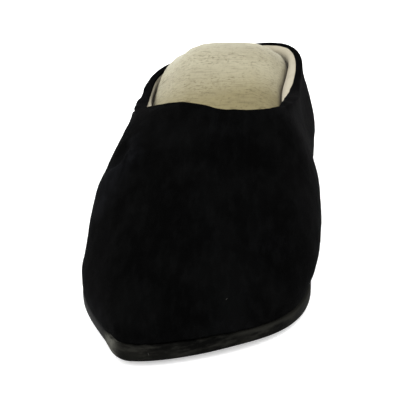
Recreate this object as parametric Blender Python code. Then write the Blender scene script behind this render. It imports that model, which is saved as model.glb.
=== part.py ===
"""A mule slipper for the left foot: a thin rubber outsole, a soft upper and a padded insole.

Metres, +Z up. The toe points to -Y, the outer side of the foot is at +X and the floor is Z = 0.
The upper is a closed ring of ribs. Each rib climbs from the feather line, where the upper meets
the sole, to the topline round the opening. The same ribs give the outlines of sole and insole.
"""

from collections import namedtuple

import bmesh
import bpy
import numpy as np

# Driving dimensions of the last
LENGTH = 0.265
BALL_WIDTH = 0.090
INSTEP_HEIGHT = 0.0715
HEEL_HEIGHT = 0.048

# Thicknesses and the room between pieces
WALL = 0.0025
SOLE_THICKNESS = 0.0055
SOLE_MARGIN = 0.0015
CLEARANCE = 0.0003
SEAT_GAP = 0.0006

# Line of the sole, with places along it as shares of LENGTH from the heel
TOE_SPRING = 0.004
SPRING_START = 0.72
ARCH_RISE = 0.0015
ARCH_START = 0.26
ARCH_END = 0.62

# Fineness of the solids; ribs from one table row to the next, rings up a rib
RIBS_PER_ROW = 6
UPPER_RINGS = 14
INSOLE_SIDE_RINGS = 5
INSOLE_COLUMNS = 8
WALL_SAMPLES = 61

# A rib: foot on the feather line and head on the topline. Places along are shares of LENGTH from the
# heel, places across are shares of BALL_WIDTH with + on the outer side. climb is 0 at HEEL_HEIGHT and
# 1 at INSTEP_HEIGHT. bulge and rise push the rib out and up from its foot, and dip pulls it down below
# its head, as shares of the rib's height. reach is how far towards the foot the rib runs before it dips.
Rib = namedtuple("Rib", "foot_along foot_across head_along head_across climb bulge rise reach dip")
RIBS = {
    "heel":         Rib(0.006, 0.000, 0.012, -0.005, 0.00, 0.20, 0.30, 0.50, 0.30),
    "heel_outer":   Rib(0.064, 0.333, 0.066, 0.342, 0.17, 0.28, 0.30, 0.50, 0.30),
    "seat_outer":   Rib(0.226, 0.389, 0.226, 0.400, 0.06, 0.34, 0.32, 0.50, 0.32),
    "waist_outer":  Rib(0.423, 0.375, 0.385, 0.415, 0.34, 0.45, 0.32, 0.50, 0.32),
    "instep_outer": Rib(0.585, 0.418, 0.492, 0.376, 0.76, 0.41, 0.30, 0.62, 0.22),
    "ball_outer":   Rib(0.709, 0.480, 0.570, 0.285, 0.83, 0.26, 0.28, 0.54, 0.24),
    "toe_outer":    Rib(0.892, 0.345, 0.604, 0.160, 0.97, 0.12, 0.22, 0.72, 0.42),
    "toe":          Rib(0.992, -0.185, 0.594, 0.020, 0.99, 0.10, 0.16, 0.80, 0.62),
    "toe_inner":    Rib(0.932, -0.380, 0.560, -0.115, 0.90, 0.10, 0.22, 0.74, 0.48),
    "ball_inner":   Rib(0.755, -0.545, 0.508, -0.262, 0.67, 0.06, 0.29, 0.65, 0.16),
    "instep_inner": Rib(0.604, -0.470, 0.445, -0.390, 0.32, 0.24, 0.42, 0.68, 0.12),
    "waist_inner":  Rib(0.423, -0.383, 0.355, -0.430, -0.05, 0.42, 0.44, 0.58, 0.22),
    "seat_inner":   Rib(0.226, -0.389, 0.219, -0.428, -0.16, 0.40, 0.36, 0.50, 0.30),
    "heel_inner":   Rib(0.064, -0.333, 0.068, -0.340, -0.19, 0.28, 0.30, 0.50, 0.30),
}

# Side of the outsole from floor to top: inset from the sole's edge, height as a share of its thickness
SoleStep = namedtuple("SoleStep", "inset height")
SOLE_SIDE = (
    SoleStep(0.0014, 0.00),
    SoleStep(0.0003, 0.14),
    SoleStep(0.0000, 0.36),
    SoleStep(0.0000, 0.82),
    SoleStep(0.0005, 1.00),
)

# Top of the insole above the sole's upper face: height of its rounded edge at the outer and the inner
# side, and crown above that edge
PadRow = namedtuple("PadRow", "along outer inner crown")
PAD = (
    PadRow(0.00, 0.0365, 0.0368, 0.0090),
    PadRow(0.10, 0.0376, 0.0369, 0.0102),
    PadRow(0.22, 0.0351, 0.0343, 0.0099),
    PadRow(0.34, 0.0315, 0.0308, 0.0090),
    PadRow(0.42, 0.0280, 0.0280, 0.0060),
    PadRow(0.52, 0.0160, 0.0160, 0.0030),
    PadRow(0.64, 0.0070, 0.0070, 0.0020),
    PadRow(1.00, 0.0040, 0.0040, 0.0010),
)

# Rounded edge of the insole: steps in from its side and up from its edge height
EdgeStep = namedtuple("EdgeStep", "inset rise")
PAD_ROUND = (
    EdgeStep(0.0008, 0.0018),
    EdgeStep(0.0024, 0.0034),
    EdgeStep(0.0050, 0.0044),
)

# Distance in from the edge at which the insole reaches its crown, share of BALL_WIDTH to each side
# over which its edge leans, and the softening of its table
PAD_HALF_WIDTH = 0.017
PAD_LEAN_REACH = 0.40
PAD_SOFTENING = 8
SOFT_WEIGHTS = (0.25, 0.50, 0.25)

# Finishes: linear colour and roughness
Finish = namedtuple("Finish", "colour roughness")
RUBBER = Finish((0.018, 0.018, 0.017), 0.50)
NAP = Finish((0.006, 0.006, 0.006), 0.95)
CREAM_CLOTH = Finish((0.44, 0.40, 0.27), 0.90)


def closed_spline(rows, per_row):
    """Smooth closed curve through the rows, with per_row steps from each row to the next."""
    count = len(rows)
    ahead = np.roll(rows, -1, axis=0)
    behind = np.roll(rows, 1, axis=0)
    unit = np.eye(count)
    system = 4.0 * unit + np.roll(unit, 1, axis=1) + np.roll(unit, -1, axis=1)
    slope = np.linalg.solve(system, 3.0 * (ahead - behind))
    t = (np.arange(per_row) / per_row)[None, :, None]
    leave = slope[:, None]
    arrive = np.roll(slope, -1, axis=0)[:, None]
    bend = t * t * (3.0 - 2.0 * t)
    curve = (1.0 - bend) * rows[:, None] + bend * ahead[:, None]
    curve = curve + t * (1.0 - t) ** 2 * leave - t * t * (1.0 - t) * arrive
    return curve.reshape(count * per_row, -1)


def smooth_step(value, start, end):
    """0 before start, 1 after end, and an even slope between."""
    t = np.clip((value - start) / (end - start), 0.0, 1.0)
    return t * t * (3.0 - 2.0 * t)


def sole_lift(along):
    """Height of the sole's underside above the floor: an arch at the waist and a spring at the toe."""
    share = along / LENGTH
    middle = (ARCH_START + ARCH_END) / 2.0
    arch = smooth_step(share, ARCH_START, middle) - smooth_step(share, middle, ARCH_END)
    spring = np.clip((share - SPRING_START) / (1.0 - SPRING_START), 0.0, None) ** 2
    return ARCH_RISE * arch + TOE_SPRING * spring


def outward(outline):
    """Unit normals in plan of an outline that runs from the heel up the outer side and back."""
    along = np.roll(outline, -1, axis=0) - np.roll(outline, 1, axis=0)
    normal = np.column_stack([-along[:, 1], along[:, 0]])
    return normal / np.linalg.norm(normal, axis=1)[:, None]


def rib_columns():
    """The rib table in metres, one row for each rib of the upper."""
    table = closed_spline(np.array(list(RIBS.values())), RIBS_PER_ROW)
    columns = Rib(*table.T)
    foot = np.column_stack([columns.foot_along * LENGTH, columns.foot_across * BALL_WIDTH])
    head = np.column_stack([
        columns.head_along * LENGTH,
        columns.head_across * BALL_WIDTH,
        HEEL_HEIGHT + columns.climb * (INSTEP_HEIGHT - HEEL_HEIGHT),
    ])
    return columns, foot, head


def upper_wall(levels):
    """Outer face of the upper as points[rib, level], from the feather line to the topline."""
    columns, foot, head = rib_columns()
    start = np.column_stack([foot, SOLE_THICKNESS + CLEARANCE + sole_lift(foot[:, 0])])
    tall = head[:, 2] - start[:, 2]
    away = outward(foot)
    first = start + np.column_stack([away * (columns.bulge * tall)[:, None], columns.rise * tall])
    back = (foot - head[:, :2]) * columns.reach[:, None]
    second = head + np.column_stack([back, -columns.dip * tall])
    t = levels[None, :, None]
    return (
        (1.0 - t) ** 3 * start[:, None]
        + 3.0 * t * (1.0 - t) ** 2 * first[:, None]
        + 3.0 * t * t * (1.0 - t) * second[:, None]
        + t ** 3 * head[:, None]
    )


def inner_wall(depth):
    """The upper's outer face moved in by depth, as points[rib, sample]."""
    wall = upper_wall(np.linspace(0.0, 1.0, WALL_SAMPLES))
    round_ring = np.roll(wall, -1, axis=0) - np.roll(wall, 1, axis=0)
    up_rib = np.gradient(wall, axis=1)
    normal = np.cross(up_rib, round_ring)
    normal /= np.linalg.norm(normal, axis=2)[:, :, None]
    return wall - normal * depth


def sole_rings():
    """Rings of the outsole's side, from the floor to its upper face."""
    _, foot, _ = rib_columns()
    away = outward(foot)
    rings = []
    for step in SOLE_SIDE:
        plan = foot + away * (SOLE_MARGIN - step.inset)
        rings.append(np.column_stack([plan, sole_lift(plan[:, 0]) + step.height * SOLE_THICKNESS]))
    return rings


def pad_rows(along):
    """Height of the insole's edge at both sides, and its crown, at places along the shoe."""
    table = np.array(PAD)
    knots = np.linspace(0.0, 1.0, WALL_SAMPLES)
    columns = []
    for column in table.T:
        soft = np.interp(knots, table[:, 0], column)
        for _ in range(PAD_SOFTENING):
            soft[1:-1] = np.convolve(soft, SOFT_WEIGHTS, mode="valid")
        columns.append(np.interp(along / LENGTH, knots, soft))
    return PadRow(*columns)


def pad_edge(plan):
    """Height of the insole's edge at points in plan, leaning from its inner to its outer side."""
    pad = pad_rows(plan[:, 0])
    outer_share = smooth_step(plan[:, 1] / BALL_WIDTH, -PAD_LEAN_REACH, PAD_LEAN_REACH)
    return pad.inner + outer_share * (pad.outer - pad.inner)


def insole_rings():
    """Rings of the insole from its base, up inside the wall and over its rounded edge."""
    wall = inner_wall(WALL + SEAT_GAP)
    plan = wall[:, 0, :2]
    base = SOLE_THICKNESS + CLEARANCE + sole_lift(plan[:, 0])
    edge = pad_edge(plan)
    low = wall[:, 0, 2]
    rings = [np.column_stack([plan, base])]
    for share in np.linspace(0.0, 1.0, INSOLE_SIDE_RINGS):
        height = low + share * (base + edge - low)
        ring = [
            [np.interp(z, rib[:, 2], rib[:, axis]) for axis in (0, 1)]
            for z, rib in zip(height, wall)
        ]
        rings.append(np.column_stack([ring, height]))
    shoulder = rings[-1]
    inward = -outward(shoulder[:, :2])
    for step in PAD_ROUND:
        rise = np.full(len(shoulder), step.rise)
        rings.append(shoulder + np.column_stack([inward * step.inset, rise]))
    return rings


def insole_top(ring):
    """Rows of points across the insole's crown, each with the place of its ends on the edge ring."""
    half = len(ring) // 2
    side = INSOLE_COLUMNS // 2
    share = np.linspace(0.0, 1.0, INSOLE_COLUMNS + 1)[1:-1, None]
    rows = []
    for i in range(side + 1, half - side):
        line = (1.0 - share) * ring[i] + share * ring[-i]
        crown = pad_rows(line[:, 0]).crown
        gap = np.linalg.norm(line[:, None, :2] - ring[None, :, :2], axis=2).min(axis=1)
        slope = 1.0 - np.minimum(gap / PAD_HALF_WIDTH, 1.0)
        line[:, 2] += crown * (1.0 - slope ** 2)
        rows.append((i, line))
    return rows


def add_ring(bm, ring):
    """Vertices of one closed ring."""
    return [bm.verts.new(point) for point in ring]


def join_rings(bm, lower, upper):
    """Quads between two rings of vertices."""
    count = len(lower)
    for i in range(count):
        j = (i + 1) % count
        bm.faces.new((lower[j], lower[i], upper[i], upper[j]))


def close_flat(bm, ring):
    """A cap of strips across a ring, from its outer to its inner side."""
    for i in range(len(ring) // 2):
        corners = (ring[i], ring[i + 1], ring[-i - 1], ring[-i])
        bm.faces.new(list(dict.fromkeys(corners)))


def close_domed(bm, ring, rows):
    """A grid across a ring: its ends follow the ring, and rows of points lie between."""
    half = len(ring) // 2
    side = INSOLE_COLUMNS // 2
    lines = [[ring[k] for k in range(side, -side - 1, -1)]]
    for i, row in rows:
        lines.append([ring[i]] + [bm.verts.new(point) for point in row] + [ring[-i]])
    lines.append([ring[k] for k in range(half - side, half + side + 1)])
    for near, far in zip(lines, lines[1:]):
        for k in range(INSOLE_COLUMNS):
            bm.faces.new((near[k], near[k + 1], far[k + 1], far[k]))


def finish_material(name, finish):
    """Principled material of one piece."""
    material = bpy.data.materials.new(name)
    material.use_nodes = True
    shader = material.node_tree.nodes["Principled BSDF"]
    shader.inputs["Base Color"].default_value = (*finish.colour, 1.0)
    shader.inputs["Roughness"].default_value = finish.roughness
    shader.inputs["Metallic"].default_value = 0.0
    return material


def add_piece(name, bm, material):
    """One named object from a finished bmesh."""
    mesh = bpy.data.meshes.new(name)
    bm.to_mesh(mesh)
    bm.free()
    mesh.shade_smooth()
    mesh.materials.append(material)
    piece = bpy.data.objects.new(name, mesh)
    bpy.context.scene.collection.objects.link(piece)
    return piece


def shoe_frame():
    """Turns (along, across, height) into X, Y, Z about the middle of the shoe's own box."""
    wall = upper_wall(np.linspace(0.0, 1.0, UPPER_RINGS + 1)).reshape(-1, 3)
    spread = np.vstack([wall] + sole_rings())
    middle = (spread.min(axis=0) + spread.max(axis=0)) / 2.0

    def place(points):
        points = np.asarray(points)
        return np.column_stack([points[:, 1] - middle[1], middle[0] - points[:, 0], points[:, 2]])

    return place


def build_outsole(place):
    """Thin rubber sole with its rounded edge, arch and toe spring."""
    bm = bmesh.new()
    rings = [add_ring(bm, place(ring)) for ring in sole_rings()]
    for lower, upper in zip(rings, rings[1:]):
        join_rings(bm, lower, upper)
    close_flat(bm, rings[0])
    close_flat(bm, rings[-1])
    bmesh.ops.recalc_face_normals(bm, faces=bm.faces)
    return add_piece("outsole", bm, finish_material("rubber", RUBBER))


def build_upper(place):
    """Hollow upper, one wall, open at the topline and along the feather line."""
    bm = bmesh.new()
    wall = upper_wall(np.linspace(0.0, 1.0, UPPER_RINGS + 1))
    rings = [add_ring(bm, place(wall[:, level])) for level in range(UPPER_RINGS + 1)]
    for lower, upper in zip(rings, rings[1:]):
        join_rings(bm, lower, upper)
    piece = add_piece("upper", bm, finish_material("nap", NAP))
    thickness = piece.modifiers.new("wall", "SOLIDIFY")
    thickness.thickness = WALL
    thickness.offset = -1.0
    thickness.use_even_offset = True
    return piece


def build_insole(place):
    """Padded footbed, high and domed at the heel and thin under the toes."""
    bm = bmesh.new()
    points = insole_rings()
    rings = [add_ring(bm, place(ring)) for ring in points]
    for lower, upper in zip(rings, rings[1:]):
        join_rings(bm, lower, upper)
    close_flat(bm, rings[0])
    close_domed(bm, rings[-1], [(i, place(row)) for i, row in insole_top(points[-1])])
    bmesh.ops.recalc_face_normals(bm, faces=bm.faces)
    return add_piece("insole", bm, finish_material("cream_cloth", CREAM_CLOTH))


def main():
    for old in list(bpy.data.objects):
        bpy.data.objects.remove(old)
    place = shoe_frame()
    build_outsole(place)
    build_upper(place)
    build_insole(place)


main()
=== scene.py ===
"""Finishes a mule slipper: napped upper, cream lining and footbed, rubber sole and lint, in a studio."""

import math
from collections import namedtuple

import bmesh
import bpy
import numpy as np
from mathutils import Euler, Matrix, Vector, noise
from mathutils.bvhtree import BVHTree


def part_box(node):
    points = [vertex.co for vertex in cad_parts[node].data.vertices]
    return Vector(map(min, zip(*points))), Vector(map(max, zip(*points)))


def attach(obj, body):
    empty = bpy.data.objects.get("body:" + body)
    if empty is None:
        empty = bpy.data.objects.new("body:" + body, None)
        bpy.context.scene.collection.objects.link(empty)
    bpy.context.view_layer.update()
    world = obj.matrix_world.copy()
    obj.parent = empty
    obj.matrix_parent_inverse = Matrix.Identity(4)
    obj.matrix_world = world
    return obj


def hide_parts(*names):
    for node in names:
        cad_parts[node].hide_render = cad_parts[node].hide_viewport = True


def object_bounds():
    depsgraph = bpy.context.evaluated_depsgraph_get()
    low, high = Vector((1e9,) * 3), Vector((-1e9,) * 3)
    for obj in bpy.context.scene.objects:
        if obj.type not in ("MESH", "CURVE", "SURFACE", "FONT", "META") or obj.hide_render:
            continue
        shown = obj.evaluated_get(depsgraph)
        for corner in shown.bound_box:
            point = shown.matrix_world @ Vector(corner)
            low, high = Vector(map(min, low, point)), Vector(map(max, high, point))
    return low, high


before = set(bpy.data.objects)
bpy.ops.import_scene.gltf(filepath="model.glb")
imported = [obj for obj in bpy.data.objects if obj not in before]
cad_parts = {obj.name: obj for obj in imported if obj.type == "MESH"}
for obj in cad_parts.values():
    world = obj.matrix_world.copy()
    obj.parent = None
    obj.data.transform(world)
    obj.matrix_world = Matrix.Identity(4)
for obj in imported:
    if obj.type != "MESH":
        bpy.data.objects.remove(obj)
CAD_LOW, CAD_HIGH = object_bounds()

bl_info = {
    "name": "Mule Slipper Finish",
    "version": (1, 0, 0),
    "blender": (4, 5, 0),
    "location": "3D View > Sidebar > Slipper",
    "description": "Builds the upper, lining, footbed and sole of a mule slipper, and its studio",
    "category": "Object",
}

BODY = "root"
LENGTH = CAD_HIGH.y - CAD_LOW.y
MIDDLE = (CAD_LOW.x + CAD_HIGH.x) / 2.0
HALF_WIDTH = (CAD_HIGH.x - CAD_LOW.x) / 2.0
HEIGHT = CAD_HIGH.z - CAD_LOW.z

# Merging and joining of the solids' triangles
MERGE = 0.00001
JOIN_BEND = math.radians(40.0)
SHARP_BEND = math.radians(50.0)

# Rounds of moving a coarse mesh so that its smooth form passes through the points of the solid
FORM_ROUNDS = 4

# A place on the shoe: across is -1 at the inner and 1 at the outer side, along is 0 at the heel and 1 at
# the toe, and up is 0 at the floor and 1 at the top of the instep.
Spot = namedtuple("Spot", "across along up")

# A fold runs from one spot to another. A positive depth is a trough and a negative one a ridge, which
# also gets a painted highlight on the nap.
Fold = namedtuple("Fold", "start end width depth")
FOLDS = {
    "throat_ridge": Fold(Spot(-0.60, 0.605, 0.79), Spot(-0.60, 0.645, 0.75), 0.0035, -0.0012),
    "throat_ridge_end": Fold(Spot(-0.60, 0.645, 0.75), Spot(-0.72, 0.660, 0.67), 0.0035, -0.0013),
    "throat_trough": Fold(Spot(-0.67, 0.610, 0.75), Spot(-0.72, 0.640, 0.70), 0.0040, 0.0014),
    "throat_dent": Fold(Spot(-0.50, 0.670, 0.75), Spot(-0.66, 0.695, 0.66), 0.0065, 0.0011),
    "inner_shoulder": Fold(Spot(-0.83, 0.660, 0.60), Spot(-0.88, 0.710, 0.52), 0.0090, -0.0016),
    "vamp_break": Fold(Spot(-0.70, 0.80, 0.42), Spot(0.60, 0.77, 0.54), 0.0090, 0.0005),
    "vamp_swell": Fold(Spot(-0.60, 0.85, 0.36), Spot(0.60, 0.82, 0.44), 0.0090, -0.0003),
    "inner_feather": Fold(Spot(-0.97, 0.740, 0.14), Spot(-0.62, 0.925, 0.13), 0.0070, -0.0014),
    "outer_dent": Fold(Spot(0.84, 0.56, 0.52), Spot(0.92, 0.66, 0.40), 0.0100, 0.0004),
    "inner_waist": Fold(Spot(-0.84, 0.42, 0.46), Spot(-0.86, 0.54, 0.34), 0.0110, 0.0007),
    "outer_waist": Fold(Spot(0.80, 0.36, 0.50), Spot(0.84, 0.47, 0.36), 0.0110, 0.0005),
    "heel_crease": Fold(Spot(-0.58, 0.05, 0.48), Spot(-0.66, 0.11, 0.26), 0.0080, 0.0006),
    "heel_crush": Fold(Spot(-0.20, 0.00, 0.40), Spot(0.32, 0.01, 0.36), 0.0070, 0.0007),
    "rim_bump": Fold(Spot(-0.80, 0.30, 0.62), Spot(-0.80, 0.33, 0.62), 0.0050, -0.0010),
    "rim_notch": Fold(Spot(-0.80, 0.24, 0.61), Spot(-0.80, 0.26, 0.61), 0.0040, 0.0007),
}

# Places where a painted sheen lightens the nap or, with a negative amount, takes painted highlight away
Patch = namedtuple("Patch", "spot reach amount")
HIGHLIGHT_PATCHES = {
    "throat_edge": Patch(Spot(0.20, 0.625, 0.97), 0.012, 0.20),
    "inner_shoulder": Patch(Spot(-0.80, 0.660, 0.62), 0.012, 0.10),
    "toe_edge": Patch(Spot(0.40, 0.960, 0.16), 0.012, 0.20),
    "inner_rim": Patch(Spot(-0.82, 0.300, 0.60), 0.020, 0.40),
    "inner_side": Patch(Spot(-0.88, 0.800, 0.15), 0.030, -0.50),
}

# How far the rolled rim and the padded collar under it stand in from the wall, at the outer and the
# inner side of the opening
Edge = namedtuple("Edge", "along outer_roll inner_roll outer_collar inner_collar")
EDGES = (
    Edge(0.00, 0.0004, 0.0004, 0.0012, 0.0012),
    Edge(0.08, 0.0004, 0.0006, 0.0018, 0.0008),
    Edge(0.16, 0.0005, 0.0010, 0.0046, 0.0008),
    Edge(0.24, 0.0012, 0.0020, 0.0058, 0.0014),
    Edge(0.32, 0.0032, 0.0027, 0.0054, 0.0042),
    Edge(0.38, 0.0040, 0.0024, 0.0046, 0.0070),
    Edge(0.44, 0.0034, 0.0012, 0.0032, 0.0080),
    Edge(0.50, 0.0016, 0.0000, 0.0010, 0.0060),
    Edge(0.58, 0.0000, 0.0000, 0.0000, 0.0000),
)
EDGE_COLUMNS = Edge(*np.array(EDGES).T)

# Soft waves in the rim: the place of each, its reach and how far it drops
Dip = namedtuple("Dip", "spot reach drop")
DIPS = {
    "throat_step": Dip(Spot(0.14, 0.612, 0.99), 0.0080, 0.0013),
    "throat_rise": Dip(Spot(0.50, 0.590, 0.95), 0.0070, -0.0008),
    "inner_rise": Dip(Spot(-0.30, 0.560, 0.93), 0.0090, -0.0006),
    "outer_corner": Dip(Spot(0.64, 0.512, 0.93), 0.0085, 0.0032),
    "outer_rim": Dip(Spot(0.74, 0.462, 0.86), 0.0100, 0.0026),
}

# Where the filling of the footbed stands up round the heel: its place, its reach and its rise
Plump = namedtuple("Plump", "spot reach rise")
PLUMPS = {
    "outer_heel": Plump(Spot(0.50, 0.05, 0.62), 0.016, 0.0030),
    "inner_heel": Plump(Spot(-0.44, 0.065, 0.65), 0.016, 0.0034),
}

# Soft unevenness of the upper: how many lumps to a metre, and how far each layer moves the surface
Lump = namedtuple("Lump", "pitch move")
LUMPS = (Lump(38.0, 0.00035), Lump(110.0, 0.00022), Lump(330.0, 0.00012))

# Lint on the nap and the sole: its place, its length and its turn about the surface
Lint = namedtuple("Lint", "spot length turn")
LINT = (
    Lint(Spot(0.296, 0.932, 0.303), 0.0012, 0.4),
    Lint(Spot(-0.306, 0.998, 0.081), 0.0014, 1.9),
    Lint(Spot(0.640, 0.800, 0.420), 0.0007, 0.2),
    Lint(Spot(0.880, 0.520, 0.400), 0.0016, 0.9),
    Lint(Spot(0.820, 0.250, 0.420), 0.0012, 2.2),
    Lint(Spot(-0.850, 0.350, 0.350), 0.0014, 1.4),
    Lint(Spot(-0.300, 0.010, 0.350), 0.0011, 0.7),
)
LINT_COLOURS = ((0.010, 0.010, 0.009, 1.0), (0.032, 0.031, 0.028, 1.0))

# Where the sole is rubbed at its tip, and the corner of it that is rubbed through
RUBBED_TIP = Spot(-0.60, 0.9575, 0.0)
RUBBED_CORNER = Spot(-0.64, 0.9612, 0.0)

# Pitch of the lining's threads, and the brightness of its slubs beside the plain cloth
LINING_THREAD = 0.0012
LINING_SLUB = 0.74


class SlipperUpperLook(bpy.types.PropertyGroup):
    """Sizes and colours of the napped upper."""

    nap_colour: bpy.props.FloatVectorProperty(
        name="Nap", description="Colour of the nap where it lies down",
        subtype="COLOR", size=4, min=0.0, max=1.0, default=(0.0006, 0.0006, 0.0006, 1.0))
    brushed_colour: bpy.props.FloatVectorProperty(
        name="Brushed nap", description="Colour of the nap where it is brushed up",
        subtype="COLOR", size=4, min=0.0, max=1.0, default=(0.0027, 0.0028, 0.0028, 1.0))
    # Painted highlight and sheen on the nap's ridges and patches
    highlight_colour: bpy.props.FloatVectorProperty(
        name="Highlighted nap", description="Colour of the nap on ridges and where hands have brushed it",
        subtype="COLOR", size=4, min=0.0, max=1.0, default=(0.0050, 0.0052, 0.0060, 1.0))
    sheen_colour: bpy.props.FloatVectorProperty(
        name="Sheen", description="Tint of the fibre ends seen along the surface",
        subtype="COLOR", size=4, min=0.0, max=1.0, default=(0.62, 0.60, 0.78, 1.0))
    sheen: bpy.props.FloatProperty(
        name="Sheen weight", description="How much light the fibre ends scatter",
        subtype="FACTOR", min=0.0, max=1.0, default=0.002)
    rim_roll: bpy.props.FloatProperty(
        name="Rim roll", description="Share of the rim's roll in from the wall",
        subtype="FACTOR", min=0.0, max=1.0, default=1.0)
    rim_round: bpy.props.FloatProperty(
        name="Rim round", description="Rounding of the edge round the opening",
        unit="LENGTH", min=0.0002, max=0.0011, default=0.0009)
    crease: bpy.props.FloatProperty(
        name="Crease", description="Strength of the folds and dents",
        subtype="FACTOR", min=0.0, max=1.5, default=1.0)


class SlipperLiningLook(bpy.types.PropertyGroup):
    """Sizes and colours of the lining inside the upper."""

    colour: bpy.props.FloatVectorProperty(
        name="Lining", description="Colour of the lining cloth",
        subtype="COLOR", size=4, min=0.0, max=1.0, default=(0.430, 0.392, 0.302, 1.0))
    thickness: bpy.props.FloatProperty(
        name="Thickness", description="Thickness of the lining cloth",
        unit="LENGTH", min=0.0001, max=0.0005, default=0.0003)
    rim_drop: bpy.props.FloatProperty(
        name="Rim drop", description="Share of the top row of the wall that the rim leaves bare",
        subtype="FACTOR", min=0.0, max=1.0, default=0.30)
    collar_width: bpy.props.FloatProperty(
        name="Collar width", description="Share of the collar's width in from the wall",
        subtype="FACTOR", min=0.0, max=1.0, default=1.0)
    collar_depth: bpy.props.FloatProperty(
        name="Collar depth", description="Depth under the rim at which the collar has its full width",
        unit="LENGTH", min=0.001, max=0.02, default=0.0028)


class SlipperFootbedLook(bpy.types.PropertyGroup):
    """Sizes and colours of the padded footbed."""

    colour: bpy.props.FloatVectorProperty(
        name="Footbed", description="Colour of the footbed cloth",
        subtype="COLOR", size=4, min=0.0, max=1.0, default=(0.384, 0.362, 0.262, 1.0))
    slub_colour: bpy.props.FloatVectorProperty(
        name="Slubs", description="Colour of the thicker, darker threads",
        subtype="COLOR", size=4, min=0.0, max=1.0, default=(0.185, 0.162, 0.102, 1.0))
    # Painted shade: a tint that darkens the cloth towards the toe, the outer side and under the vamp
    shade_tint: bpy.props.FloatVectorProperty(
        name="Shade", description="Tint over the cloth where feet have soiled it",
        subtype="COLOR", size=4, min=0.0, max=1.0, default=(0.560, 0.510, 0.350, 1.0))
    # Painted light: a paler colour towards the heel end, more at the inner side
    heel_light_colour: bpy.props.FloatVectorProperty(
        name="Lit", description="Colour of the cloth where the heel has faded it",
        subtype="COLOR", size=4, min=0.0, max=1.0, default=(0.560, 0.548, 0.460, 1.0))
    # Painted shade down in the groove round the pad
    groove_shade_colour: bpy.props.FloatVectorProperty(
        name="Groove", description="Colour of the cloth down in the groove round the pad",
        subtype="COLOR", size=4, min=0.0, max=1.0, default=(0.075, 0.052, 0.022, 1.0))
    thread: bpy.props.FloatProperty(
        name="Thread pitch", description="Distance from one thread to the next",
        unit="LENGTH", min=0.0004, max=0.004, default=0.0011)
    slack: bpy.props.FloatProperty(
        name="Slack", description="How far the cover may lie inside the solid footbed",
        unit="LENGTH", min=0.0, max=0.006, default=0.0006)
    cell: bpy.props.FloatProperty(
        name="Cell", description="Size of the cloth cells while the pad is filled",
        unit="LENGTH", min=0.002, max=0.008, default=0.0028)
    pressure: bpy.props.FloatProperty(
        name="Pressure", description="Pressure of the filling", min=0.0, max=20.0, default=4.0)
    swell_limit: bpy.props.FloatProperty(
        name="Swell limit", description="Farthest that the filling moves the cover",
        unit="LENGTH", min=0.0, max=0.02, default=0.005)
    tuck_gap: bpy.props.FloatProperty(
        name="Tuck gap", description="Distance from the rim or collar at which the pad is tucked down",
        unit="LENGTH", min=0.0, max=0.02, default=0.0002)
    tuck_slope: bpy.props.FloatProperty(
        name="Tuck slope", description="Width of the slope of the tucked edge",
        unit="LENGTH", min=0.0005, max=0.01, default=0.0026)
    tuck_depth: bpy.props.FloatProperty(
        name="Tuck depth", description="How far the pad's edge is tucked down",
        unit="LENGTH", min=0.0, max=0.01, default=0.0040)
    proud: bpy.props.FloatProperty(
        name="Proud", description="How far the cover may stand out of the solid footbed",
        unit="LENGTH", min=0.0, max=0.002, default=0.0001)


class SlipperSoleLook(bpy.types.PropertyGroup):
    """Sizes and colours of the rubber sole."""

    colour: bpy.props.FloatVectorProperty(
        name="Rubber", description="Colour of the rubber",
        subtype="COLOR", size=4, min=0.0, max=1.0, default=(0.0004, 0.0004, 0.0004, 1.0))
    # Scuffs of the edge, which also carry the painted light on its upper part and a painted highlight
    # along its top
    scuff_and_highlight_colour: bpy.props.FloatVectorProperty(
        name="Scuffs", description="Colour of the rubbed edge",
        subtype="COLOR", size=4, min=0.0, max=1.0, default=(0.0115, 0.0113, 0.0096, 1.0))
    tip_colour: bpy.props.FloatVectorProperty(
        name="Rubbed tip", description="Colour of the rubber where the tip is rubbed through",
        subtype="COLOR", size=4, min=0.0, max=1.0, default=(0.0700, 0.0700, 0.0600, 1.0))
    toe_hang: bpy.props.FloatProperty(
        name="Toe hang", description="How far the soft lower edge hangs at the tip",
        unit="LENGTH", min=0.0, max=0.0025, default=0.0018)


class SlipperStageLook(bpy.types.PropertyGroup):
    """Camera, floor and lights of the studio."""

    camera_place: bpy.props.FloatVectorProperty(
        name="Camera", description="Place of the camera in the shoe's own frame",
        subtype="TRANSLATION", unit="LENGTH", default=(0.0847, -0.9562, 0.4010))
    aim: bpy.props.FloatVectorProperty(
        name="Aim", description="Point that the camera looks at",
        subtype="TRANSLATION", unit="LENGTH", default=(-0.0053, 0.0, 0.0178))
    tilt: bpy.props.FloatProperty(
        name="Tilt", description="Downward tilt of the camera before it is aimed",
        subtype="ANGLE", default=math.radians(20.6))
    lens: bpy.props.FloatProperty(
        name="Lens", description="Focal length in millimetres on a 36 mm sensor", default=209.7)
    floor_colour: bpy.props.FloatVectorProperty(
        name="Floor", description="Colour of the floor",
        subtype="COLOR", size=4, min=0.0, max=1.0, default=(0.93, 0.93, 0.93, 1.0))
    floor_glow: bpy.props.FloatProperty(
        name="Floor glow", description="Light that comes up through the floor", min=0.0, default=0.45)
    sky: bpy.props.FloatProperty(name="Sky", description="Strength of the light all round", default=1.60)
    key_power: bpy.props.FloatProperty(
        name="Key", description="Power of the large light at the upper left", unit="POWER", default=10.0)
    fill_power: bpy.props.FloatProperty(
        name="Fill", description="Power of the light behind and above", unit="POWER", default=2.0)


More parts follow.
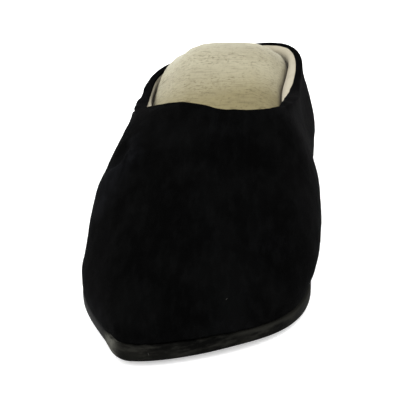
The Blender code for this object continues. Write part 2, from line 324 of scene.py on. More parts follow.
class SlipperLooks(bpy.types.PropertyGroup):
    """All looks of the slipper and its studio."""

    upper: bpy.props.PointerProperty(type=SlipperUpperLook)
    lining: bpy.props.PointerProperty(type=SlipperLiningLook)
    footbed: bpy.props.PointerProperty(type=SlipperFootbedLook)
    sole: bpy.props.PointerProperty(type=SlipperSoleLook)
    stage: bpy.props.PointerProperty(type=SlipperStageLook)


def place_of(spot):
    """A spot on the shoe as a point in metres."""
    return Vector((
        MIDDLE + spot.across * HALF_WIDTH,
        CAD_HIGH.y - spot.along * LENGTH,
        CAD_LOW.z + spot.up * HEIGHT,
    ))


def edge_width(point, kind):
    """Width of the rolled rim or the collar near a point, blended from side to side round the heel."""
    along = (CAD_HIGH.y - point.y) / LENGTH
    outer = np.interp(along, EDGE_COLUMNS.along, getattr(EDGE_COLUMNS, "outer_" + kind))
    inner = np.interp(along, EDGE_COLUMNS.along, getattr(EDGE_COLUMNS, "inner_" + kind))
    share = min(max(0.5 + point.x / HALF_WIDTH, 0.0), 1.0)
    return float(inner + (outer - inner) * share)


class Value:
    """A number socket of a finish, so that shader maths reads as plain sums."""

    def __init__(self, finish, socket):
        self.finish = finish
        self.socket = socket

    def math(self, operation, *operands):
        """The number that a Math node gives."""
        sockets = dict(enumerate(operands))
        return self.finish.value("ShaderNodeMath", {"operation": operation}, sockets)

    def __add__(self, other):
        return self.math("ADD", self, other)

    def __radd__(self, other):
        return self.math("ADD", other, self)

    def __sub__(self, other):
        return self.math("SUBTRACT", self, other)

    def __rsub__(self, other):
        return self.math("SUBTRACT", other, self)

    def __mul__(self, other):
        return self.math("MULTIPLY", self, other)

    def __rmul__(self, other):
        return self.math("MULTIPLY", other, self)

    def __truediv__(self, other):
        return self.math("DIVIDE", self, other)

    def __rtruediv__(self, other):
        return self.math("DIVIDE", other, self)

    def __pow__(self, other):
        return self.math("POWER", self, other)

    def __abs__(self):
        return self.math("ABSOLUTE", self)

    def sine(self):
        return self.math("SINE", self)

    def step(self, start, end):
        """0 below start, 1 above end, and a soft slope between."""
        return self.finish.value(
            "ShaderNodeMapRange",
            {"interpolation_type": "SMOOTHSTEP"},
            {"Value": self, "From Min": start, "From Max": end},
        )


class Finish:
    """One procedural material, built node by node."""

    MIX_FACTOR = 0
    MIX_COLOURS = (6, 7)
    MIX_RESULT = 2

    def __init__(self, name, constants):
        self.material = bpy.data.materials.new(name)
        self.material.use_nodes = True
        self.tree = self.material.node_tree
        self.shader = self.tree.nodes["Principled BSDF"]
        for socket, value in constants.items():
            self.shader.inputs[socket].default_value = value

    def node(self, kind, settings=None, sockets=None):
        """A node of a kind, with its settings set first and then its sockets set or linked."""
        made = self.tree.nodes.new(kind)
        for key, value in (settings or {}).items():
            setattr(made, key, value)
        for key, value in (sockets or {}).items():
            self.feed(made.inputs[key], value)
        return made

    def feed(self, socket, value):
        """Sets or links one socket."""
        if isinstance(value, Value):
            value = value.socket
        if isinstance(value, bpy.types.NodeSocket):
            self.tree.links.new(value, socket)
        else:
            socket.default_value = value

    def value(self, kind, settings=None, sockets=None, output=0):
        """The number that a node gives."""
        return Value(self, self.node(kind, settings, sockets).outputs[output])

    def own(self, name):
        """A number kept on the points of the piece."""
        return self.value("ShaderNodeAttribute", {"attribute_name": name}, None, "Fac")

    def place(self, stretch=(1.0, 1.0, 1.0)):
        """Place on the piece in metres, stretched along its axes."""
        spot = self.node("ShaderNodeTexCoord").outputs["Object"]
        sockets = {"Vector": spot, "Scale": stretch}
        return self.node("ShaderNodeMapping", {"vector_type": "POINT"}, sockets).outputs["Vector"]

    def axes(self):
        """Place on the piece as three numbers."""
        spot = self.node("ShaderNodeTexCoord").outputs["Object"]
        parts = self.node("ShaderNodeSeparateXYZ", None, {"Vector": spot})
        return [Value(self, parts.outputs[axis]) for axis in "XYZ"]

    def shares(self):
        """Place on the shoe as two numbers, across and along as in a spot."""
        x, y, _ = self.axes()
        return (x - MIDDLE) / HALF_WIDTH, (CAD_HIGH.y - y) / LENGTH

    def gap(self, spot):
        """Distance from a spot in metres, seen from above."""
        x, y, _ = self.axes()
        place = place_of(spot)
        sideways = x - place.x
        lengthways = y - place.y
        return (sideways * sideways + lengthways * lengthways) ** 0.5

    def noise(self, pitch, detail=2.0, roughness=0.5, stretch=(1.0, 1.0, 1.0)):
        """Soft noise with pitch patches to a metre."""
        sockets = {
            "Vector": self.place(stretch),
            "Scale": pitch,
            "Detail": detail,
            "Roughness": roughness,
        }
        return self.value("ShaderNodeTexNoise", {"noise_dimensions": "3D"}, sockets)

    def mix(self, factor, first, second, blend="MIX"):
        """Colour between two colours, or the first one tinted by the second."""
        sockets = dict(zip(self.MIX_COLOURS, (first, second)))
        sockets[self.MIX_FACTOR] = factor
        settings = {"data_type": "RGBA", "blend_type": blend, "clamp_factor": True}
        made = self.node("ShaderNodeMix", settings, sockets)
        return made.outputs[self.MIX_RESULT]

    def colour(self, value):
        """Sets or links the colour of the surface."""
        self.feed(self.shader.inputs["Base Color"], value)

    def roughness(self, value):
        """Sets or links the roughness of the surface."""
        self.feed(self.shader.inputs["Roughness"], value)

    def bump(self, height, distance, strength):
        """Relief of the surface from a height in shares of distance."""
        sockets = {"Height": height, "Distance": distance, "Strength": strength}
        made = self.node("ShaderNodeBump", None, sockets)
        self.feed(self.shader.inputs["Normal"], made.outputs["Normal"])


CLOTH_CONSTANTS = {
    "Roughness": 0.9,
    "Specular IOR Level": 0.15,
    "Sheen Weight": 0.08,
    "Sheen Roughness": 0.5,
}


def nap_finish(look):
    """Matt black nap with lighter patches of brushing, a painted highlight on its ridges and sheen
    patches, and a faint sheen.
    """
    nap = Finish("black_nap", {
        "Roughness": 0.95,
        "Specular IOR Level": 0.006,
        "Sheen Weight": look.sheen,
        "Sheen Roughness": 0.30,
        "Sheen Tint": tuple(look.sheen_colour),
    })
    patches = nap.noise(34.0, detail=3.0, roughness=0.6)
    strokes = nap.noise(300.0, detail=3.0, roughness=0.6, stretch=(1.0, 0.30, 0.55))
    fibres = nap.noise(1500.0, roughness=0.7)
    brushed = patches.step(0.40, 0.68) * 0.40 + strokes.step(0.42, 0.72) * 0.30 + fibres * 0.20
    flat = nap.mix(brushed, tuple(look.nap_colour), tuple(look.brushed_colour))
    uneven = 0.12 + 0.50 * strokes.step(0.38, 0.62) + 0.35 * patches.step(0.35, 0.65)
    # Painted highlight and sheen: lighter nap on the ridges and patches marked on the skin
    highlight = nap.own("brushed") * uneven
    nap.colour(nap.mix(highlight, flat, tuple(look.highlight_colour)))
    nap.bump(fibres * 0.6 + strokes * 0.5, distance=0.0007, strength=0.55)
    return nap.material


def thread_relief(across, down, pitch):
    """Height of a plain weave whose threads lie along two numbers."""
    turn = 2.0 * math.pi / pitch
    return (across * turn).sine() * (down * turn).sine() * 0.5 + 0.5


def footbed_finish(look):
    """Cream cloth with crossing threads and slubs, with painted shade towards the toe, the outer side and
    under the vamp, painted light at the heel and painted shade in the groove round the pad.
    """
    cloth = Finish("cream_footbed", CLOTH_CONSTANTS)
    x, y, z = cloth.axes()
    across, along = cloth.shares()
    weave = thread_relief(x, y + z, look.thread)
    weft = cloth.noise(1000.0, stretch=(0.16, 1.0, 1.0))
    warp = cloth.noise(900.0, stretch=(1.0, 0.30, 0.5))
    speck = cloth.noise(620.0, detail=1.0)
    cloud = cloth.noise(45.0)
    cluster = cloth.noise(75.0).step(0.42, 0.60)
    fleck = weft.step(0.46, 0.72) * 0.46 + warp.step(0.52, 0.74) * 0.22
    fleck = fleck + speck.step(0.52, 0.70) * (0.16 + 0.34 * cluster)
    fleck = fleck + cloud.step(0.35, 0.75) * 0.25 + (1.0 - weave) * 0.18
    plain = cloth.mix(fleck, tuple(look.colour), tuple(look.slub_colour))
    # Painted shade: darker towards the toe, the outer side, the outer front and under the vamp
    front = along.step(0.125, 0.575)
    outside = across.step(-0.80, 0.50)
    outer_front = along.step(0.200, 0.4625) * across.step(-0.10, 0.64)
    under_vamp = along.step(0.1775, 0.3875)
    shaded = front * 0.27 + outside * 0.29 + outer_front * 0.34 + under_vamp * 0.80
    tone_and_painted_light = cloth.mix(shaded, plain, tuple(look.shade_tint), blend="MULTIPLY")
    # Painted light: paler towards the heel end, less at the outer side
    heel_end = 1.0 - along.step(0.0275, 0.170)
    lit = heel_end * 0.68 * (1.0 - across.step(-0.40, 0.60) * 0.30)
    shaded_and_lit = cloth.mix(lit, tone_and_painted_light, tuple(look.heel_light_colour))
    # Painted shade in the groove round the pad's edge
    cloth.colour(cloth.mix(cloth.own("tucked"), shaded_and_lit, tuple(look.groove_shade_colour)))
    cloth.bump(weave * 0.6 + weft * 0.6 + warp * 0.4, distance=0.0006, strength=0.45)
    return cloth.material


def lining_finish(look):
    """Cream lining cloth whose threads run round the wall and up it."""
    cloth = Finish("cream_lining", CLOTH_CONSTANTS)
    x, y, z = cloth.axes()
    weave = thread_relief(y - abs(x), z, LINING_THREAD)
    slub = cloth.noise(420.0, detail=3.0, roughness=0.6, stretch=(0.3, 0.3, 1.0))
    shade = slub.step(0.50, 0.75) * 0.5 + (1.0 - weave) * 0.2
    colour = tuple(look.colour)
    deep = tuple(LINING_SLUB * part for part in colour[:3]) + (1.0,)
    cloth.colour(cloth.mix(shade, colour, deep))
    cloth.bump(weave * 0.7 + slub * 0.5, distance=0.0005, strength=0.45)
    return cloth.material


def rubber_finish(look):
    """Dark satin rubber, rubbed lighter and duller along its edge, less towards the inner side and most
    of all at its tip, with painted light on the upper part of the edge and a painted highlight along its
    top at the outer side.
    """
    rubber = Finish("dark_rubber", {"Specular IOR Level": 0.01})
    across, _ = rubber.shares()
    height = rubber.own("height")
    grain = rubber.noise(1100.0, detail=3.0, roughness=0.6)
    rubs = rubber.noise(160.0, detail=4.0, roughness=0.65, stretch=(0.5, 0.5, 2.0))
    cloud = rubber.noise(40.0)
    tip = 1.0 - rubber.gap(RUBBED_TIP).step(0.003, 0.012)
    corner = 1.0 - rubber.gap(RUBBED_CORNER).step(0.002, 0.010)
    away_from_inside = 0.08 + 0.92 * across.step(-0.80, -0.40)
    # Painted light: the scuffs show brighter on the upper part of the edge
    lit_upper_edge = 0.45 + 0.55 * height.step(0.05, 0.55)
    # Painted highlight along the top of the edge at the outer side
    top_highlight = height.step(0.70, 0.95) * across.step(0.24, 0.56)
    mottled = rubs.step(0.44, 0.66) * 0.80 + cloud.step(0.42, 0.66) * 0.45 + grain * 0.15
    tone_and_painted_light = (mottled * away_from_inside + tip * 0.9) * lit_upper_edge + top_highlight * 0.9
    edge = rubber.mix(tone_and_painted_light, tuple(look.colour), tuple(look.scuff_and_highlight_colour))
    flaked = 0.15 + 0.60 * rubs.step(0.42, 0.60) + 0.35 * grain.step(0.42, 0.60)
    rubber.colour(rubber.mix(corner * flaked, edge, tuple(look.tip_colour)))
    rubber.roughness(0.48 + tone_and_painted_light * 0.25)
    rubber.bump(grain * 0.6 + rubs * 0.6, distance=0.0004, strength=0.4)
    return rubber.material


def lint_finish():
    """Pale grey fibre."""
    lint = Finish("pale_lint", {"Roughness": 0.9, "Specular IOR Level": 0.1})
    lint.colour(lint.mix(lint.noise(900.0), *LINT_COLOURS))
    return lint.material


def merged_copy(node):
    """The triangles of a solid as one joined mesh of quads."""
    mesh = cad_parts[node].data.copy()
    for layer in ("custom_normal", "sharp_edge", "sharp_face"):
        attribute = mesh.attributes.get(layer)
        if attribute:
            mesh.attributes.remove(attribute)
    mesh.materials.clear()
    bm = bmesh.new()
    bm.from_mesh(mesh)
    bpy.data.meshes.remove(mesh)
    bmesh.ops.remove_doubles(bm, verts=bm.verts, dist=MERGE)
    bmesh.ops.join_triangles(
        bm, faces=bm.faces, angle_face_threshold=JOIN_BEND, angle_shape_threshold=math.pi)
    bm.normal_update()
    return bm


def smooth_bands(bm):
    """Groups of faces that sharp edges part, the largest first."""
    left = set(bm.faces)
    bands = []
    while left:
        reached = [left.pop()]
        band = []
        while reached:
            face = reached.pop()
            band.append(face)
            for edge in face.edges:
                if len(edge.link_faces) != 2 or edge.calc_face_angle() > SHARP_BEND:
                    continue
                for near in edge.link_faces:
                    if near in left:
                        left.remove(near)
                        reached.append(near)
        bands.append(band)
    return sorted(bands, key=lambda band: -sum(face.calc_area() for face in band))


def wall_bands(bm):
    """The outer skin, the inner skin and the rim round the opening of the solid upper."""
    outer, inner, *rims = smooth_bands(bm)
    rim = max(rims, key=lambda band: max(face.calc_center_median().z for face in band))
    return outer, inner, rim


def edges_between(first, second):
    """Edges that two groups of faces share."""
    one = {edge for face in first for edge in face.edges}
    two = {edge for face in second for edge in face.edges}
    return list(one & two)


def new_piece(name, bm, material):
    """A named piece of the shoe from a finished bmesh."""
    mesh = bpy.data.meshes.new(name)
    bm.to_mesh(mesh)
    bm.free()
    mesh.shade_smooth()
    mesh.materials.append(material)
    piece = bpy.data.objects.new(name, mesh)
    bpy.context.scene.collection.objects.link(piece)
    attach(piece, BODY)
    return piece


def apply_modifiers(piece):
    """Turns a piece's modifiers into its own mesh."""
    graph = bpy.context.evaluated_depsgraph_get()
    mesh = bpy.data.meshes.new_from_object(piece.evaluated_get(graph), depsgraph=graph)
    old = piece.data
    piece.modifiers.clear()
    piece.data = mesh
    bpy.data.meshes.remove(old)
    mesh.name = piece.name
    mesh.shade_smooth()


def subdivide(piece, levels):
    """Smooths a piece into finer faces that still pass through its own points."""
    finer = piece.modifiers.new("finer", "SUBSURF")
    finer.levels = levels
    finer.render_levels = levels
    wanted = read_points(piece.data)
    for _ in range(FORM_ROUNDS):
        graph = bpy.context.evaluated_depsgraph_get()
        found = read_points(piece.evaluated_get(graph).data)[:len(wanted)]
        write_points(piece.data, read_points(piece.data) + wanted - found)
    apply_modifiers(piece)


def read_points(mesh):
    """The mesh's points as rows of a table."""
    flat = np.empty(len(mesh.vertices) * 3)
    mesh.vertices.foreach_get("co", flat)
    return flat.reshape(-1, 3)


def read_normals(mesh):
    """The mesh's vertex normals as rows of a table."""
    flat = np.empty(len(mesh.vertices) * 3)
    mesh.vertex_normals.foreach_get("vector", flat)
    return flat.reshape(-1, 3)


def write_points(mesh, points):
    """Moves the mesh's points to the rows of a table."""
    mesh.vertices.foreach_set("co", points.ravel())
    mesh.update()
    mesh.update_tag()


def fold_push(points, fold):
    """How far a fold pushes each point in."""
    start = np.array(place_of(fold.start))
    run = np.array(place_of(fold.end)) - start
    share = np.clip((points - start) @ run / (run @ run), 0.0, 1.0)
    gap = np.linalg.norm(points - start - share[:, None] * run, axis=1)
    return fold.depth * np.exp(-(gap / fold.width) ** 2)


def lump_push(points):
    """Soft unevenness in layers of noise."""
    push = np.zeros(len(points))
    for lump in LUMPS:
        push += [lump.move * noise.noise(Vector(point) * lump.pitch) for point in points]
    return push


def wave_rim(verts):
    """Lowers and lifts the wall near its rim in soft waves."""
    for dip in DIPS.values():
        place = place_of(dip.spot)
        for vert in verts:
            vert.co.z -= dip.drop * math.exp(-((vert.co - place).length / dip.reach) ** 2)


class SLIPPER_OT_upper(bpy.types.Operator):
    """Build the napped upper over the solid one, with its round rim, folds and soft unevenness"""

    bl_idname = "slipper.upper"
    bl_label = "Napped Upper"

    # Height of a ridge that gets the full painted highlight on the nap
    RIDGE = 0.0014

    def execute(self, context):
        look = context.scene.slipper.upper
        bm = merged_copy("upper")
        outer, inner, rim = wall_bands(bm)
        skin = bm.verts.layers.float.new("skin")
        for face in outer + rim:
            for vert in face.verts:
                vert[skin] = 1.0
        self.roll_rim(edges_between(rim, inner), look)
        wave_rim(bm.verts)
        edges = edges_between(rim, outer) + edges_between(rim, inner)
        bmesh.ops.bevel(
            bm, geom=edges, offset=look.rim_round, offset_type="OFFSET", affect="EDGES",
            segments=2, profile=0.5, material=-1)
        upper = new_piece("napped_upper", bm, nap_finish(look))
        subdivide(upper, levels=2)
        self.crease(upper.data, look.crease)
        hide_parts("upper")
        return {"FINISHED"}

    def roll_rim(self, edges, look):
        """Widens the rim inwards."""
        for vert in {vert for edge in edges for vert in edge.verts}:
            inward = Vector((vert.normal.x, vert.normal.y, 0.0)).normalized()
            vert.co += inward * (look.rim_roll * edge_width(vert.co, "roll"))

    def crease(self, mesh, strength):
        """Presses the folds and lumps into the outer skin, and marks a painted highlight on its ridges
        and a painted sheen in the listed patches.
        """
        points = read_points(mesh)
        weight = np.empty(len(points))
        mesh.attributes["skin"].data.foreach_get("value", weight)
        folds = {name: fold_push(points, fold) * strength for name, fold in FOLDS.items()}
        push = sum(folds.values()) + lump_push(points)
        write_points(mesh, points - read_normals(mesh) * (push * weight)[:, None])
        # Painted highlight on the ridges, and painted sheen added or taken away in the listed patches
        brushed = sum(np.maximum(-fold, 0.0) for fold in folds.values()) / self.RIDGE
        for patch in HIGHLIGHT_PATCHES.values():
            gap = np.linalg.norm(points - np.array(place_of(patch.spot)), axis=1)
            brushed += patch.amount * np.exp(-(gap / patch.reach) ** 2)
        layer = mesh.attributes.new("brushed", "FLOAT", "POINT")
        layer.data.foreach_set("value", np.clip(brushed, 0.0, 1.0))


class SLIPPER_OT_lining(bpy.types.Operator):
    """Build the cream lining on the inside of the upper, just under its rim"""

    bl_idname = "slipper.lining"
    bl_label = "Lining"

    def execute(self, context):
        look = context.scene.slipper.lining
        bm = merged_copy("upper")
        _, inner, rim = wall_bands(bm)
        top = {vert for edge in edges_between(rim, inner) for vert in edge.verts}
        keep = set(inner)
        spare = [face for face in bm.faces if face not in keep]
        bmesh.ops.delete(bm, geom=spare, context="FACES")
        for vert in bm.verts:
            if vert in top:
                below = [edge.other_vert(vert) for edge in vert.link_edges if not edge.is_boundary]
                vert.co = vert.co.lerp(below[0].co, look.rim_drop)
        self.pad_collar(bm, [vert.co.copy() for vert in top], look)
        wave_rim(bm.verts)
        # The cloth thickens away from the wall, which leaves its faces inside out until they are reversed
        bmesh.ops.solidify(bm, geom=bm.faces, thickness=-look.thickness)
        bmesh.ops.reverse_faces(bm, faces=bm.faces)
        lining = new_piece("lining", bm, lining_finish(look))
        subdivide(lining, levels=1)
        return {"FINISHED"}

    def pad_collar(self, bm, rim, look):
        """Moves the lining in from the wall, as a padded collar round the heel, flat under the vamp."""
        bm.normal_update()
        for vert in bm.verts:
            nearest = min(rim, key=lambda point: (point.xy - vert.co.xy).length)
            deep = min(max((nearest.z - vert.co.z) / look.collar_depth, 0.0), 1.0)
            width = look.collar_width * edge_width(vert.co, "collar") * (1.0 - (1.0 - deep) ** 2)
            level = Vector((vert.normal.x, vert.normal.y, 0.0)).normalized()
            vert.co += vert.normal * (look.thickness * 0.5) + level * width


class SLIPPER_OT_footbed(bpy.types.Operator):
    """Fill the padded footbed as cloth under pressure inside the room of its solid"""

    bl_idname = "slipper.footbed"
    bl_label = "Padded Footbed"

    # Share of the length at which the tuck ends, share over which it fades, and its reach from the wall
    TUCK_END = 0.56
    TUCK_FADE = 0.08
    TUCK_REACH = 0.012

    # Frames of the filling, share of the length behind which it swells, and the base that stays flat
    FRAMES = 20
    FIRM_SHARE = 0.55
    BASE_BAND = 0.006

    def execute(self, context):
        look = context.scene.slipper.footbed
        bm = merged_copy("insole")
        room = BVHTree.FromBMesh(bm)
        for vert in bm.verts:
            vert.co -= vert.normal * look.slack
        footbed = new_piece("padded_footbed", bm, footbed_finish(look))
        cells = footbed.modifiers.new("cells", "REMESH")
        cells.mode = "VOXEL"
        cells.voxel_size = look.cell
        apply_modifiers(footbed)
        self.relax(footbed.data, times=6)
        self.fill(context, footbed, look)
        self.settle(footbed.data, room, look)
        subdivide(footbed, levels=1)
        self.relax(footbed.data, times=2)
        self.settle(footbed.data, room, look)
        self.plump(footbed.data)
        self.tuck(footbed.data, look)
        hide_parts("insole")
        return {"FINISHED"}

    def relax(self, mesh, times):
        """Evens out the cells."""
        bm = bmesh.new()
        bm.from_mesh(mesh)
        for _ in range(times):
            bmesh.ops.smooth_vert(
                bm, verts=bm.verts, factor=0.5, use_axis_x=True, use_axis_y=True, use_axis_z=True)
        bm.to_mesh(mesh)
        bm.free()
        mesh.shade_smooth()

    def fill(self, context, footbed, look):
        """Swells the cover, with its base and its thin front held."""
        held = footbed.vertex_groups.new(name="held")
        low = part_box("insole")[0].z + self.BASE_BAND
        front = CAD_HIGH.y - self.FIRM_SHARE * LENGTH
        rows = [vert.index for vert in footbed.data.vertices if vert.co.z < low or vert.co.y < front]
        held.add(rows, 1.0, "REPLACE")
        before = read_points(footbed.data)
        cloth = footbed.modifiers.new("filling", "CLOTH")
        cover = cloth.settings
        cover.quality = 6
        cover.mass = 0.2
        cover.tension_stiffness = 20.0
        cover.compression_stiffness = 20.0
        cover.shear_stiffness = 8.0
        cover.bending_stiffness = 1.0
        cover.use_pressure = True
        cover.uniform_pressure_force = look.pressure
        cover.effector_weights.gravity = 0.0
        cover.vertex_group_mass = "held"
        cloth.point_cache.frame_start = 1
        cloth.point_cache.frame_end = self.FRAMES
        for step in range(1, self.FRAMES + 1):
            context.scene.frame_set(step)
        apply_modifiers(footbed)
        context.scene.frame_set(1)
        moved = read_points(footbed.data) - before
        far = np.linalg.norm(moved, axis=1)
        share = np.minimum(1.0, look.swell_limit / np.maximum(far, 1e-9))
        write_points(footbed.data, before + moved * share[:, None])

    def plump(self, mesh):
        """Raises the top of the cover where the filling stands up."""
        points = read_points(mesh)
        facing_up = np.maximum(read_normals(mesh)[:, 2], 0.0)
        for row in PLUMPS.values():
            gap = np.linalg.norm(points - np.array(place_of(row.spot)), axis=1)
            points[:, 2] += row.rise * np.exp(-(gap / row.reach) ** 2) * facing_up
        write_points(mesh, points)

    def tuck(self, mesh, look):
        """Tucks the pad's edge down and marks it, so that a groove runs between it and the collar; the
        mark also darkens the groove with painted shade.
        """
        bm = merged_copy("upper")
        wall = BVHTree.FromBMesh(bm)
        bm.free()
        tucked = np.zeros(len(mesh.vertices))
        for vert in mesh.vertices:
            along = (CAD_HIGH.y - vert.co.y) / LENGTH
            gap = wall.find_nearest(vert.co)[3]
            if along > self.TUCK_END or gap > self.TUCK_REACH or vert.normal.z < 0.0:
                continue
            fade = min((self.TUCK_END - along) / self.TUCK_FADE, 1.0)
            edge = max(edge_width(vert.co, "roll"), edge_width(vert.co, "collar")) + look.tuck_gap
            share = min(max((edge + look.tuck_slope - gap) / look.tuck_slope, 0.0), 1.0)
            tucked[vert.index] = fade * share * share * (3.0 - 2.0 * share)
        points = read_points(mesh)
        points[:, 2] -= look.tuck_depth * tucked
        write_points(mesh, points)
        layer = mesh.attributes.new("tucked", "FLOAT", "POINT")
        layer.data.foreach_set("value", tucked)

    def settle(self, mesh, room, look):
        """Keeps the cover close to the face of its solid."""
        for vert in mesh.vertices:
            near, normal, _, _ = room.find_nearest(vert.co)
            out = (vert.co - near).dot(normal)
            vert.co = near + normal * max(-look.slack, min(look.proud, out))
        mesh.update()


class SLIPPER_OT_sole(bpy.types.Operator):
    """Build the rubber sole over the solid one, with its lower edge hanging a little at the tip"""

    bl_idname = "slipper.sole"
    bl_label = "Rubber Sole"

    # Rise of the normal past which a face belongs to the under or the upper side
    FLAT = 0.9

    # Shares of the length between which the lower edge comes to hang
    HANG_START = 0.935
    HANG_END = 0.990

    def execute(self, context):
        look = context.scene.slipper.sole
        bm = merged_copy("outsole")
        self.hang_tip(bm, look.toe_hang)
        flat = {face for face in bm.faces if abs(face.normal.z) > self.FLAT}
        crease = bm.edges.layers.float.new("crease_edge")
        for edge in bm.edges:
            if sum(face in flat for face in edge.link_faces) == 1:
                edge[crease] = 1.0
        sole = new_piece("rubber_sole", bm, rubber_finish(look))
        subdivide(sole, levels=2)
        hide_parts("outsole")
        return {"FINISHED"}

    def hang_tip(self, bm, drop):
        """Lowers the edge at the tip, the under side most, and marks each point's height in the edge."""
        height = bm.verts.layers.float.new("height")
        under = {vert for face in bm.faces if face.normal.z < -self.FLAT for vert in face.verts}
        over = {vert for face in bm.faces if face.normal.z > self.FLAT for vert in face.verts}
        low_line = np.array(sorted((vert.co.y, vert.co.z) for vert in under)).T
        high_line = np.array(sorted((vert.co.y, vert.co.z) for vert in over)).T
        for vert in bm.verts:
            low = np.interp(vert.co.y, *low_line)
            high = np.interp(vert.co.y, *high_line)
            along = (CAD_HIGH.y - vert.co.y) / LENGTH
            tip = np.clip((along - self.HANG_START) / (self.HANG_END - self.HANG_START), 0.0, 1.0)
            vert[height] = np.clip((vert.co.z - low) / (high - low), 0.0, 1.0)
            vert.co.z -= drop * tip * (1.0 - vert[height])


class SLIPPER_OT_lint(bpy.types.Operator):
    """Scatter the few bits of lint that cling to the nap and the sole"""

    bl_idname = "slipper.lint"
    bl_label = "Lint"

    THICKNESS = 0.00022
    BREADTH = 0.000352

    def execute(self, context):
        trees = [self.tree(name) for name in ("napped_upper", "rubber_sole")]
        bm = bmesh.new()
        for row in LINT:
            target = place_of(row.spot)
            near, normal = min(
                (tree.find_nearest(target)[:2] for tree in trees),
                key=lambda found: (found[0] - target).length)
            self.add_bit(bm, near, normal, row)
        new_piece("lint", bm, lint_finish())
        return {"FINISHED"}

    def tree(self, name):
        """The faces of a finished piece, for finding the nearest place on it."""
        mesh = bpy.data.objects[name].data
        corners = [vert.co for vert in mesh.vertices]
        return BVHTree.FromPolygons(corners, [face.vertices for face in mesh.polygons])

    def add_bit(self, bm, near, normal, row):
        """One flattened fibre lying on the surface."""
        stand = normal.to_track_quat("Z", "Y").to_matrix().to_4x4()
        stand.translation = near
        made = bmesh.ops.create_icosphere(bm, subdivisions=1, radius=0.5)
        shape = Vector((row.length, self.BREADTH, self.THICKNESS))
        bmesh.ops.scale(bm, verts=made["verts"], vec=shape)
        turn = Euler((0.0, 0.0, row.turn)).to_matrix()
        bmesh.ops.rotate(bm, verts=made["verts"], cent=Vector(), matrix=turn)
        bmesh.ops.transform(bm, verts=made["verts"], matrix=stand)


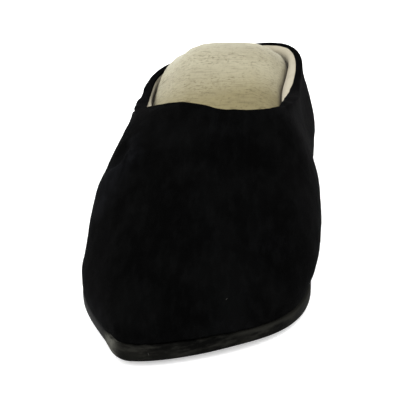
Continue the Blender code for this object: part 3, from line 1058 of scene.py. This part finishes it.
class SLIPPER_OT_stage(bpy.types.Operator):
    """Set up the pale floor, the soft lights and the camera"""

    bl_idname = "slipper.stage"
    bl_label = "Studio"

    FLOOR_SIZE = 6.0
    FLOOR_DROP = 0.0003
    KEY_PLACE = (-0.9, -1.2, 1.2)
    KEY_SIZE = 2.0
    FILL_PLACE = (0.7, 1.0, 1.3)
    FILL_SIZE = 1.4

    def execute(self, context):
        look = context.scene.slipper.stage
        context.scene.view_settings.view_transform = "Standard"
        self.add_floor(context, look)
        self.add_sky(context, look)
        self.add_light(context, "key_light", self.KEY_PLACE, self.KEY_SIZE, look.key_power)
        self.add_light(context, "fill_light", self.FILL_PLACE, self.FILL_SIZE, look.fill_power)
        self.add_camera(context, look)
        return {"FINISHED"}

    def add_floor(self, context, look):
        """Pale floor just under the sole, with a glow of its own."""
        bm = bmesh.new()
        bmesh.ops.create_grid(bm, x_segments=1, y_segments=1, size=self.FLOOR_SIZE)
        bmesh.ops.translate(bm, verts=bm.verts, vec=Vector((0.0, 0.0, CAD_LOW.z - self.FLOOR_DROP)))
        mesh = bpy.data.meshes.new("floor")
        bm.to_mesh(mesh)
        bm.free()
        pale = Finish("pale_floor", {
            "Roughness": 0.8,
            "Specular IOR Level": 0.1,
            "Emission Color": tuple(look.floor_colour),
            "Emission Strength": look.floor_glow,
        })
        pale.colour(tuple(look.floor_colour))
        mesh.materials.append(pale.material)
        floor = bpy.data.objects.new("floor", mesh)
        context.scene.collection.objects.link(floor)

    def add_sky(self, context, look):
        """White light from all round."""
        world = bpy.data.worlds.new("studio")
        world.use_nodes = True
        sky = world.node_tree.nodes["Background"]
        sky.inputs["Color"].default_value = (1.0, 1.0, 1.0, 1.0)
        sky.inputs["Strength"].default_value = look.sky
        context.scene.world = world

    def add_light(self, context, name, place, size, power):
        """Round light that shines on the shoe."""
        light = bpy.data.lights.new(name, "AREA")
        light.shape = "DISK"
        light.size = size
        light.energy = power
        lamp = bpy.data.objects.new(name, light)
        lamp.location = place
        lamp.rotation_euler = (-Vector(place)).to_track_quat("-Z", "Y").to_euler()
        context.scene.collection.objects.link(lamp)

    def add_camera(self, context, look):
        """Camera with the photo's tilt, turned the short way to its aim."""
        level = Euler((math.pi / 2.0 - look.tilt, 0.0, 0.0)).to_quaternion()
        ahead = level @ Vector((0.0, 0.0, -1.0))
        aim = (Vector(look.aim) - Vector(look.camera_place)).normalized()
        data = bpy.data.cameras.new("camera")
        data.lens = look.lens
        camera = bpy.data.objects.new("camera", data)
        camera.location = look.camera_place
        camera.rotation_mode = "QUATERNION"
        camera.rotation_quaternion = ahead.rotation_difference(aim) @ level
        context.scene.collection.objects.link(camera)
        context.scene.camera = camera


OPERATORS = (
    SLIPPER_OT_sole,
    SLIPPER_OT_upper,
    SLIPPER_OT_lining,
    SLIPPER_OT_footbed,
    SLIPPER_OT_lint,
    SLIPPER_OT_stage,
)


class SLIPPER_PT_finish(bpy.types.Panel):
    """Lists the pieces of the slipper and their looks"""

    bl_idname = "SLIPPER_PT_finish"
    bl_label = "Mule Slipper"
    bl_space_type = "VIEW_3D"
    bl_region_type = "UI"
    bl_category = "Slipper"

    def draw(self, context):
        for operator in OPERATORS:
            self.layout.operator(operator.bl_idname)
        looks = context.scene.slipper
        for part in looks.bl_rna.properties.keys():
            group = getattr(looks, part)
            if not isinstance(group, bpy.types.PropertyGroup):
                continue
            box = self.layout.box()
            box.label(text=part.title())
            for key in group.__annotations__:
                box.prop(group, key)


CLASSES = (
    SlipperUpperLook,
    SlipperLiningLook,
    SlipperFootbedLook,
    SlipperSoleLook,
    SlipperStageLook,
    SlipperLooks,
    *OPERATORS,
    SLIPPER_PT_finish,
)


def register():
    for cls in CLASSES:
        bpy.utils.register_class(cls)
    bpy.types.Scene.slipper = bpy.props.PointerProperty(type=SlipperLooks)


def unregister():
    del bpy.types.Scene.slipper
    for cls in reversed(CLASSES):
        bpy.utils.unregister_class(cls)


def main():
    """Builds the slipper and its studio."""
    register()
    bpy.ops.slipper.sole()
    bpy.ops.slipper.upper()
    bpy.ops.slipper.lining()
    bpy.ops.slipper.footbed()
    bpy.ops.slipper.lint()
    bpy.ops.slipper.stage()


if __name__ == "__main__":
    main()
